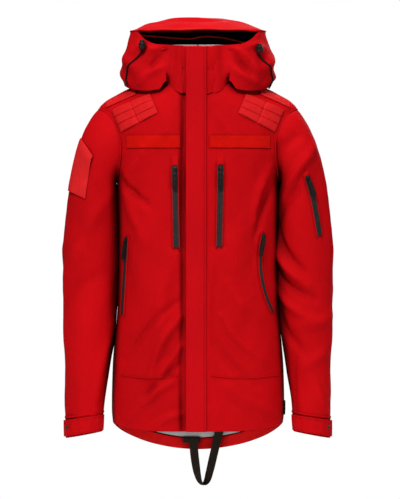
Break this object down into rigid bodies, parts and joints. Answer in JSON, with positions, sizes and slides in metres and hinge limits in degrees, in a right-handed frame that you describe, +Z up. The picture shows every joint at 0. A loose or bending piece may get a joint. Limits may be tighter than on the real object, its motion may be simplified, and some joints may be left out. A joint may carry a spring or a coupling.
{
  "type": "foul weather jacket",
  "caption": "Hooded foul weather jacket with storm flap, pocket zips, loop panels, cuff tabs, cord locks and a tail strap.",
  "frame": {"origin": "inside top of the hanger loop at the back of the neck", "axes": "+Z up, front faces -Y, wearer's left side is +X"},
  "size_m": [0.566, 0.2846, 0.9868],
  "materials": {
    "shell": "taslan-like laminated shell cloth, matt",
    "loop": "hook-and-loop pile, very matt",
    "webbing": "ribbed webbing, matt",
    "dark": "moulded, satin",
    "tape": "coated water-resistant zip tape, satin",
    "lining": "light mesh lining, matt",
    "hoodLining": "brushed fleece, matt",
    "strap": "ribbed webbing, matt"
  },
  "bodies": {
    "jacket_body": {"front_panel_right": "shell", "collar_right": "shell", "main_zip_tape_right": "tape", "chest_loop_panel_right": "loop", "shoulder_webbing_right": "webbing", "shoulder_overlay_right": "shell", "hand_pocket_bag_right": "lining", "front_panel_left": "shell", "collar_left": "shell", "main_zip_tape_left": "tape", "chest_loop_panel_left": "loop", "shoulder_webbing_left": "webbing", "shoulder_overlay_left": "shell", "hand_pocket_bag_left": "lining", "back_panel": "shell", "body_lining": "lining", "hem_facing": "shell", "collar_lining": "lining", "inner_placket": "shell", "chest_zip_right_tape": "tape", "chest_zip_left_tape": "tape", "hand_zip_right_tape": "tape", "hand_zip_left_tape": "tape", "tail_strap_anchor": "strap", "hanger_loop": "dark"},
    "hood": {"hood_back": "shell", "hood_crown": "shell", "hood_brim": "shell", "hood_lining": "hoodLining", "hood_side_right": "shell", "cord_lock_right": "dark", "drawcord_right": "dark", "hood_side_left": "shell", "cord_lock_left": "dark", "drawcord_left": "dark"},
    "cord_button_right": {"cord_lock_button_right": "dark"},
    "upper_sleeve_right": {"upper_sleeve_right": "shell", "sleeve_loop_panel": "loop"},
    "forearm_right": {"forearm_right": "shell"},
    "cuff_tab_right": {"cuff_tab_right": "shell"},
    "cord_button_left": {"cord_lock_button_left": "dark"},
    "upper_sleeve_left": {"upper_sleeve_left": "shell", "sleeve_zip_tape": "tape"},
    "forearm_left": {"forearm_left": "shell"},
    "cuff_tab_left": {"cuff_tab_left": "shell"},
    "storm_flap": {"storm_flap": "shell"},
    "main_zip_slider": {"main_zip_slider": "dark"},
    "tail_strap": {"tail_strap": "strap"},
    "chest_zip_right_slider": {"chest_zip_right_slider": "dark"},
    "chest_zip_right_pull": {"chest_zip_right_pull": "dark"},
    "chest_zip_left_slider": {"chest_zip_left_slider": "dark"},
    "chest_zip_left_pull": {"chest_zip_left_pull": "dark"},
    "hand_zip_right_slider": {"hand_zip_right_slider": "dark"},
    "hand_zip_right_pull": {"hand_zip_right_pull": "dark"},
    "hand_zip_left_slider": {"hand_zip_left_slider": "dark"},
    "hand_zip_left_pull": {"hand_zip_left_pull": "dark"},
    "sleeve_zip_slider": {"sleeve_zip_slider": "dark"},
    "sleeve_zip_pull": {"sleeve_zip_pull": "dark"}
  },
  "joints": [
    {"name": "shoulder_right", "type": "hinge", "parent": "jacket_body", "child": "upper_sleeve_right", "pos_m": [-0.2086, -0.062, -0.066], "axis": [0, 1, 0], "range_deg": [0, 60]},
    {"name": "elbow_right", "type": "hinge", "parent": "upper_sleeve_right", "child": "forearm_right", "pos_m": [-0.2285, -0.1255, -0.426], "axis": [-1, 0, 0], "range_deg": [0, 100]},
    {"name": "cuff_tab_right", "type": "hinge", "parent": "forearm_right", "child": "cuff_tab_right", "pos_m": [-0.1985, -0.107, -0.735], "axis": [0, 0, 1], "range_deg": [0, 80]},
    {"name": "cord_button_right", "type": "slide", "parent": "hood", "child": "cord_button_right", "axis": [0, 0, -1], "range_m": [0, 0.004], "stiffness_N_per_m": 300},
    {"name": "shoulder_left", "type": "hinge", "parent": "jacket_body", "child": "upper_sleeve_left", "pos_m": [0.2086, -0.062, -0.066], "axis": [0, -1, 0], "range_deg": [0, 60]},
    {"name": "elbow_left", "type": "hinge", "parent": "upper_sleeve_left", "child": "forearm_left", "pos_m": [0.2285, -0.1255, -0.426], "axis": [-1, 0, 0], "range_deg": [0, 100]},
    {"name": "cuff_tab_left", "type": "hinge", "parent": "forearm_left", "child": "cuff_tab_left", "pos_m": [0.1985, -0.107, -0.735], "axis": [0, 0, -1], "range_deg": [0, 80]},
    {"name": "cord_button_left", "type": "slide", "parent": "hood", "child": "cord_button_left", "axis": [0, 0, -1], "range_m": [0, 0.004], "stiffness_N_per_m": 300},
    {"name": "hood_fold", "type": "hinge", "parent": "jacket_body", "child": "hood", "pos_m": [0, 0.016, -0.002], "axis": [-1, 0, 0], "range_deg": [0, 85]},
    {"name": "flap_swing", "type": "hinge", "parent": "jacket_body", "child": "storm_flap", "pos_m": [0.018, -0.1854, -0.3379], "axis": [0, 0.0224, 0.9997], "range_deg": [0, 108]},
    {"name": "main_zip", "type": "slide", "parent": "jacket_body", "child": "main_zip_slider", "axis": [0, -0.0224, -0.9997], "range_m": [0, 0.76]},
    {"name": "tail_strap_swing", "type": "hinge", "parent": "jacket_body", "child": "tail_strap", "pos_m": [0.0185, 0.0375, -0.7565], "axis": [-0.8712, 0, -0.491], "range_deg": [0, 48]},
    {"name": "chest_zip_right_slide", "type": "slide", "parent": "jacket_body", "child": "chest_zip_right_slider", "axis": [0.0174, -0.0222, -0.9996], "range_m": [0, 0.14453]},
    {"name": "chest_zip_right_pull_swing", "type": "hinge", "parent": "chest_zip_right_slider", "child": "chest_zip_right_pull", "pos_m": [-0.04848, -0.18297, -0.19439], "axis": [-0.9956, 0.0912, -0.0192], "range_deg": [0, 100]},
    {"name": "chest_zip_left_slide", "type": "slide", "parent": "jacket_body", "child": "chest_zip_left_slider", "axis": [-0.0174, -0.0221, -0.9996], "range_m": [0, 0.14454]},
    {"name": "chest_zip_left_pull_swing", "type": "hinge", "parent": "chest_zip_left_slider", "child": "chest_zip_left_pull", "pos_m": [0.04746, -0.18304, -0.19239], "axis": [-0.996, -0.0875, 0.0192], "range_deg": [0, 100]},
    {"name": "hand_zip_right_slide", "type": "hinge", "parent": "jacket_body", "child": "hand_zip_right_slider", "pos_m": [0.05064, -4.42945, -0.7153], "axis": [-0.9968, -0.0522, 0.0604], "range_deg": [0, 1.82]},
    {"name": "hand_zip_right_pull_swing", "type": "hinge", "parent": "hand_zip_right_slider", "child": "hand_zip_right_pull", "pos_m": [-0.15419, -0.13291, -0.34201], "axis": [-0.5622, 0.8208, 0.1009], "range_deg": [0, 100]},
    {"name": "hand_zip_left_slide", "type": "hinge", "parent": "jacket_body", "child": "hand_zip_left_slider", "pos_m": [0.25325, -0.03699, -0.38483], "axis": [0.6936, -0.7203, 0.0118], "range_deg": [0, 48.72]},
    {"name": "hand_zip_left_pull_swing", "type": "hinge", "parent": "hand_zip_left_slider", "child": "hand_zip_left_pull", "pos_m": [0.13884, -0.15039, -0.33604], "axis": [-0.7128, -0.6458, 0.2738], "range_deg": [0, 100]},
    {"name": "sleeve_zip_slide", "type": "hinge", "parent": "upper_sleeve_left", "child": "sleeve_zip_slider", "pos_m": [-0.29341, -0.18804, -0.38775], "axis": [-0.1306, 0.9902, 0.0493], "range_deg": [0, 10.4]},
    {"name": "sleeve_zip_pull_swing", "type": "hinge", "parent": "sleeve_zip_slider", "child": "sleeve_zip_pull", "pos_m": [0.23381, -0.13004, -0.2117], "axis": [-0.8575, -0.3997, -0.324], "range_deg": [0, 100]}
  ]
}
